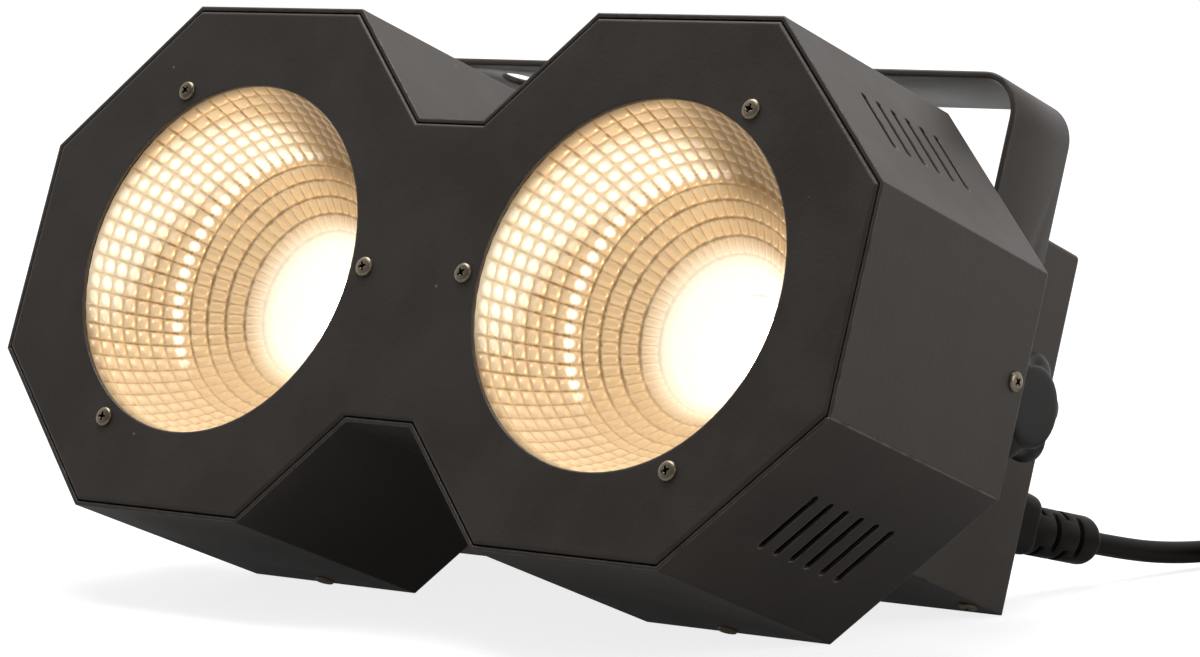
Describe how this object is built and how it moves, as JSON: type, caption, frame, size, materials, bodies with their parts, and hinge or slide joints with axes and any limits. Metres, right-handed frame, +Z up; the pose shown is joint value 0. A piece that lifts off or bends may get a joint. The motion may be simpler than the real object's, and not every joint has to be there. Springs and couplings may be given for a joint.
{
  "type": "audience blinder light",
  "caption": "Stage blinder light with faceted reflectors in octagonal housings, a rear box for power and control, a tilting yoke with star knobs, and a mains lead.",
  "frame": {"origin": "on the table under the middle of the light's box, without the mains lead", "axes": "+X to the light's right seen from its front, +Y to its rear, +Z up from the table; the light leans back on its rear edges"},
  "size_m": [0.3837, 0.3495, 0.1786],
  "materials": {
    "housing": "fine textured powder coat, satin",
    "reflector": "polished facets",
    "moulding": "black moulded plastic",
    "led_carrier": "bright plate",
    "led_light": "yellow phosphor",
    "heat_sink": "extruded, raw",
    "steel": "zinc plated",
    "screw": "nickel with a warm tint",
    "knob": "black, soft sheen",
    "circuit": "green circuit board",
    "supply_case": "sheet, raw",
    "window": "smoked red, clear",
    "button": "dark grey",
    "contact": "gold flash",
    "fuse": "clear tube",
    "cord": "black sheath",
    "plug": "black moulded",
    "tie": "hook and loop band"
  },
  "bodies": {
    "fixture": {"front_panel": "housing", "top_shell": "housing", "bottom_shell": "housing", "back_plate": "housing", "reflector_left": "reflector", "reflector_holder_left": "moulding", "led_board_left": "led_carrier", "led_light_left": "led_light", "led_clamp_left": "moulding", "heat_sink_left": "heat_sink", "sink_posts_left": "steel", "fan_frame_left": "moulding", "reflector_right": "reflector", "reflector_holder_right": "moulding", "led_board_right": "led_carrier", "led_light_right": "led_light", "led_clamp_right": "moulding", "heat_sink_right": "heat_sink", "sink_posts_right": "steel", "fan_frame_right": "moulding", "rear_box_cover": "housing", "rear_box_floor": "housing", "power_supply": "supply_case", "led_driver": "circuit", "control_board": "circuit", "display_window": "window", "dmx_in_socket": "moulding", "dmx_out_socket": "moulding", "dmx_in_pins": "contact", "mains_inlet": "moulding", "inlet_blades": "contact", "friction_washer_left": "steel", "pivot_nut_left": "steel", "friction_washer_right": "steel", "pivot_nut_right": "steel", "safety_eye": "housing", "front_screws": "screw", "shell_screws": "screw", "rear_screws": "screw", "floor_screws": "screw", "lead_plug": "plug", "lead_cord": "cord", "lead_coil": "cord", "coil_tie": "tie", "mains_plug": "plug"},
    "yoke": {"yoke": "housing"},
    "knob_left": {"knob_left": "knob", "knob_stud_left": "steel"},
    "knob_right": {"knob_right": "knob", "knob_stud_right": "steel"},
    "fan_left": {"fan_rotor_left": "moulding"},
    "fan_right": {"fan_rotor_right": "moulding"},
    "fuse_drawer": {"fuse_drawer": "moulding", "fuse": "fuse"},
    "latch": {"dmx_out_latch": "button"},
    "button_1": {"menu_button_1": "button"},
    "button_2": {"menu_button_2": "button"},
    "button_3": {"menu_button_3": "button"},
    "button_4": {"menu_button_4": "button"}
  },
  "joints": [
    {"name": "yoke_tilt", "type": "hinge", "parent": "fixture", "child": "yoke", "pos_m": [0, 0.03469, 0.06446], "axis": [1, 0, 0], "range_deg": [-75, 12]},
    {"name": "knob_left_turn", "type": "hinge", "parent": "fixture", "child": "knob_left", "pos_m": [-0.13, 0.03469, 0.06446], "axis": [-1, 0, 0], "continuous": true},
    {"name": "knob_right_turn", "type": "hinge", "parent": "fixture", "child": "knob_right", "pos_m": [0.13, 0.03469, 0.06446], "axis": [1, 0, 0], "continuous": true},
    {"name": "fan_left_spin", "type": "hinge", "parent": "fixture", "child": "fan_left", "pos_m": [-0.079, -0.00518, 0.07748], "axis": [0, 0.9347, -0.3555], "continuous": true},
    {"name": "fan_right_spin", "type": "hinge", "parent": "fixture", "child": "fan_right", "pos_m": [0.079, -0.00518, 0.07748], "axis": [0, 0.9347, -0.3555], "continuous": true},
    {"name": "button_1_press", "type": "slide", "parent": "fixture", "child": "button_1", "axis": [0, -0.9347, 0.3555], "range_m": [0, 0.001], "stiffness_N_per_m": 300},
    {"name": "button_2_press", "type": "slide", "parent": "fixture", "child": "button_2", "axis": [0, -0.9347, 0.3555], "range_m": [0, 0.001], "stiffness_N_per_m": 300},
    {"name": "button_3_press", "type": "slide", "parent": "fixture", "child": "button_3", "axis": [0, -0.9347, 0.3555], "range_m": [0, 0.001], "stiffness_N_per_m": 300},
    {"name": "button_4_press", "type": "slide", "parent": "fixture", "child": "button_4", "axis": [0, -0.9347, 0.3555], "range_m": [0, 0.001], "stiffness_N_per_m": 300},
    {"name": "latch_press", "type": "slide", "parent": "fixture", "child": "latch", "axis": [0, -0.9347, 0.3555], "range_m": [0, 0.001], "stiffness_N_per_m": 300},
    {"name": "fuse_drawer_pull", "type": "slide", "parent": "fixture", "child": "fuse_drawer", "axis": [0, 0.9347, -0.3555], "range_m": [0, 0.015]}
  ]
}
